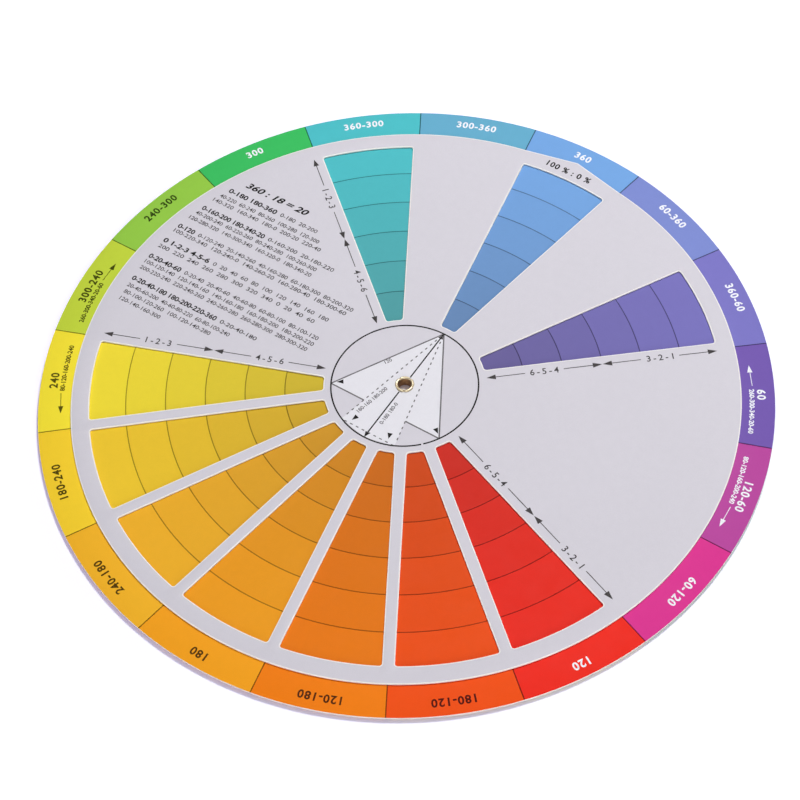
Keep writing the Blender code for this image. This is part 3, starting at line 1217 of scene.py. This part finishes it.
def add_grey_scale():
    """Ten numbered greys along an arc, from white to black."""
    white, black = PIGMENTS[-2:]
    inner, outer = GREY_SCALE_RADII
    first, last = (math.radians(degrees) for degrees in GREY_SCALE_DEGREES)
    step = (last - first) / GREY_STEPS
    scale, numbers = bmesh.new(), bmesh.new()
    faces = GREY_STEPS * GREY_FACES_PER_STEP
    draw_ring(scale, (inner + outer) / 2, outer - inner, first, last - first, faces)
    for number in range(GREY_STEPS):
        azimuth = first + step * (number + 0.5)
        draw_ring_digits(numbers, str(number + 1), REAR_DIGIT_HEIGHT, GREY_NUMBER_RADIUS, azimuth)

    def grey_at(face):
        place = face.calc_center_median()
        number = min(int((math.atan2(place.x, place.y) - first) / step), GREY_STEPS - 1)
        return mix(white, black, number / (GREY_STEPS - 1))

    add_print("grey_scale", scale, "swatches", "rear dial", color_at=grey_at)
    add_print("grey_scale_numbers", numbers, "dark grey", "rear dial")


def add_mixing_dots():
    """Pigment plus pigment equals mixture, for the three primary pairs."""
    middle, middle_level = MIX_MIDDLE
    dots, marks = [], bmesh.new()
    for row, (first, second, mixture) in enumerate(MIXES):
        level = middle_level + MIX_ROW_PITCH * (1 - row)
        for column, swatch in enumerate((PIGMENTS[first], PIGMENTS[second], mixture)):
            dots.append((Vector((middle + MIX_PITCH * (column - 1), level, 0)), swatch))
        draw_plus(marks, Vector((middle - MIX_PITCH / 2, level, 0)))
        draw_equals(marks, Vector((middle + MIX_PITCH / 2, level, 0)))
    add_dots("mixing_dots", dots, MIX_DOT_RADIUS)
    add_print("mixing_marks", marks, "dark grey", "rear dial")


def add_hue_dots():
    """A small hue circle, with the primary triad drawn in it."""
    dots, marks = [], bmesh.new()
    for number, (_, _, swatch, _) in enumerate(HUES):
        dots.append((HUE_DOTS_CENTRE + polar(HUE_DOTS_RADIUS, number * HUE_ANGLE), swatch))
    reach = HUE_DOTS_RADIUS - 2 * HUE_DOT_RADIUS
    corners = [HUE_DOTS_CENTRE + polar(reach, TRIAD_AZIMUTH * number) for number in range(3)]
    for start, end in zip(corners, corners[1:] + corners[:1]):
        draw_line(marks, start, end, TRIAD_LINE_WIDTH)
    add_dots("hue_dots", dots, HUE_DOT_RADIUS)
    add_print("hue_triad", marks, "dark grey", "rear dial")


# Floor, light and camera

FLOOR_SIZE = 8.0
FLOOR_SWATCH = (248, 249, 251)
FLOOR_ROUGHNESS = 0.9
FAR_FLOOR_RADIUS = 1.2
WORLD_LIGHT = (0.13, 0.125, 0.165)

# Each round lamp: azimuth and elevation in degrees, distance and size in metres, and power in watts
SOFTBOXES = {
    "key_softbox": (-3, 64, 1.0, 0.25, 7.55),
    "front_softbox": (140, 18, 1.1, 0.5, 4.4),
    "overhead_softbox": (0, 90, 1.6, 2.6, 2.6),
}

# How brightly the floor glows at some distances from the wheel's middle: dim and cool under and round the
# wheel, as painted shade that deepens its shadow at the rim and through the bore; far off it is white
FLOOR_GLOWS_AND_PAINTED_SHADE = (
    (60 * MM, (0.04, 0.04, 0.06)),
    (105 * MM, (0.09, 0.08, 0.18)),
    (155 * MM, (0.3, 0.295, 0.47)),
)

CAMERA_AZIMUTH = math.radians(35.645)
CAMERA_ELEVATION = math.radians(54.972)
CAMERA_ROLL = math.radians(-3.46)
CAMERA_DISTANCE = 728.3 * MM
CAMERA_AIM_OFFSET = (1.54 * MM, 3.95 * MM)
CAMERA_LENS = 102.5


def floor_glow_and_painted_shade(tree):
    """The floor's glow by the distance from the wheel's middle, held low near the wheel as painted shade.
    """
    place = tree.nodes.new("ShaderNodeTexCoord").outputs["Object"]
    distance = add_math(tree, "ShaderNodeVectorMath", "LENGTH", place)
    share = add_math(tree, "ShaderNodeMath", "DIVIDE", distance, FAR_FLOOR_RADIUS)
    ramp = add_node(tree, "ShaderNodeValToRGB", {"Fac": share})
    stops = ramp.color_ramp.elements
    stops.remove(stops[0])
    # The low stops near the middle paint shade under the wheel and along its rim
    for radius, glow in FLOOR_GLOWS_AND_PAINTED_SHADE:
        stops.new(radius / FAR_FLOOR_RADIUS).color = (*glow, 1)
    return ramp.outputs["Color"]


def seen_directly(tree):
    """1 for camera, mirror and glass rays, and 0 for light that falls on the wheel."""
    path = tree.nodes.new("ShaderNodeLightPath").outputs
    total = path["Is Camera Ray"]
    for ray in ("Is Glossy Ray", "Is Transmission Ray"):
        total = add_math(tree, "ShaderNodeMath", "MAXIMUM", total, path[ray])
    return total


def pale_floor():
    """A floor that glows for cameras and reflections only: hardly under and round the wheel, as painted
    shade there, and white far off.
    """
    material = new_material("pale_floor", FLOOR_SWATCH, FLOOR_ROUGHNESS, specular=0)
    tree = material.node_tree
    feed_shader(material, {"Emission Color": floor_glow_and_painted_shade(tree), "Emission Strength": seen_directly(tree)})
    return material


def add_floor():
    sheet = bmesh.new()
    bmesh.ops.create_grid(sheet, x_segments=1, y_segments=1, size=FLOOR_SIZE / 2)
    MATERIALS["floor"] = pale_floor()
    floor = make_object("floor", sheet, ("floor",))


def add_world():
    """White where it is seen, and a dim, cool and even light elsewhere."""
    world = bpy.data.worlds.new("studio")
    bpy.context.scene.world = world
    world.use_nodes = True
    tree = world.node_tree
    light = tree.nodes.new("ShaderNodeMix")
    light.data_type = "RGBA"
    feed(tree, light, {"A": (*WORLD_LIGHT, 1), "B": (1, 1, 1, 1), "Factor": seen_directly(tree)})
    feed(tree, tree.nodes["Background"], {"Color": light.outputs["Result"]})


def add_softbox(name, azimuth, elevation, distance, size, power):
    """A round lamp that faces the wheel's middle."""
    light = bpy.data.lights.new(name, "AREA")
    light.shape = "DISK"
    light.size = size
    light.energy = power
    softbox = bpy.data.objects.new(name, light)
    level = polar(distance * math.cos(elevation), azimuth)
    softbox.location = level + AXIS_UP * distance * math.sin(elevation)
    softbox.rotation_euler = softbox.location.to_track_quat("Z", "Y").to_euler()
    show(softbox)


def add_lights():
    for name, (azimuth, elevation, distance, size, power) in SOFTBOXES.items():
        add_softbox(name, math.radians(azimuth), math.radians(elevation), distance, size, power)


def add_camera():
    """The photograph's own view, found from the printed divisions on the base's rim."""
    level = Vector((math.cos(CAMERA_AZIMUTH), math.sin(CAMERA_AZIMUTH), 0))
    back = level.cross(AXIS_UP) * math.cos(CAMERA_ELEVATION) + AXIS_UP * math.sin(CAMERA_ELEVATION)
    right = Matrix.Rotation(CAMERA_ROLL, 3, back) @ level
    up = back.cross(right)
    lens = bpy.data.cameras.new("camera")
    lens.lens = CAMERA_LENS
    camera = bpy.data.objects.new("camera", lens)
    camera.matrix_world = Matrix((right, up, back)).transposed().to_4x4()
    aim_right, aim_up = CAMERA_AIM_OFFSET
    rim_middle = AXIS_UP * (BASE_TOP - BASE_BOW[1])
    camera.location = rim_middle + back * CAMERA_DISTANCE - right * aim_right - up * aim_up
    show(camera)
    bpy.context.scene.camera = camera
    bpy.context.scene.view_settings.view_transform = "Standard"


add_camera()
add_world()
add_lights()
add_floor()
add_base_card()
add_front_card()
add_rear_card()
add_eyelet()
add_ring_numbers()
add_scheme_panel()
add_scheme_lines()
add_diagram_labels()
add_scale_arrows()
add_scheme_table()
add_pigment_marks()
add_grey_scale()
add_mixing_dots()
add_hue_dots()
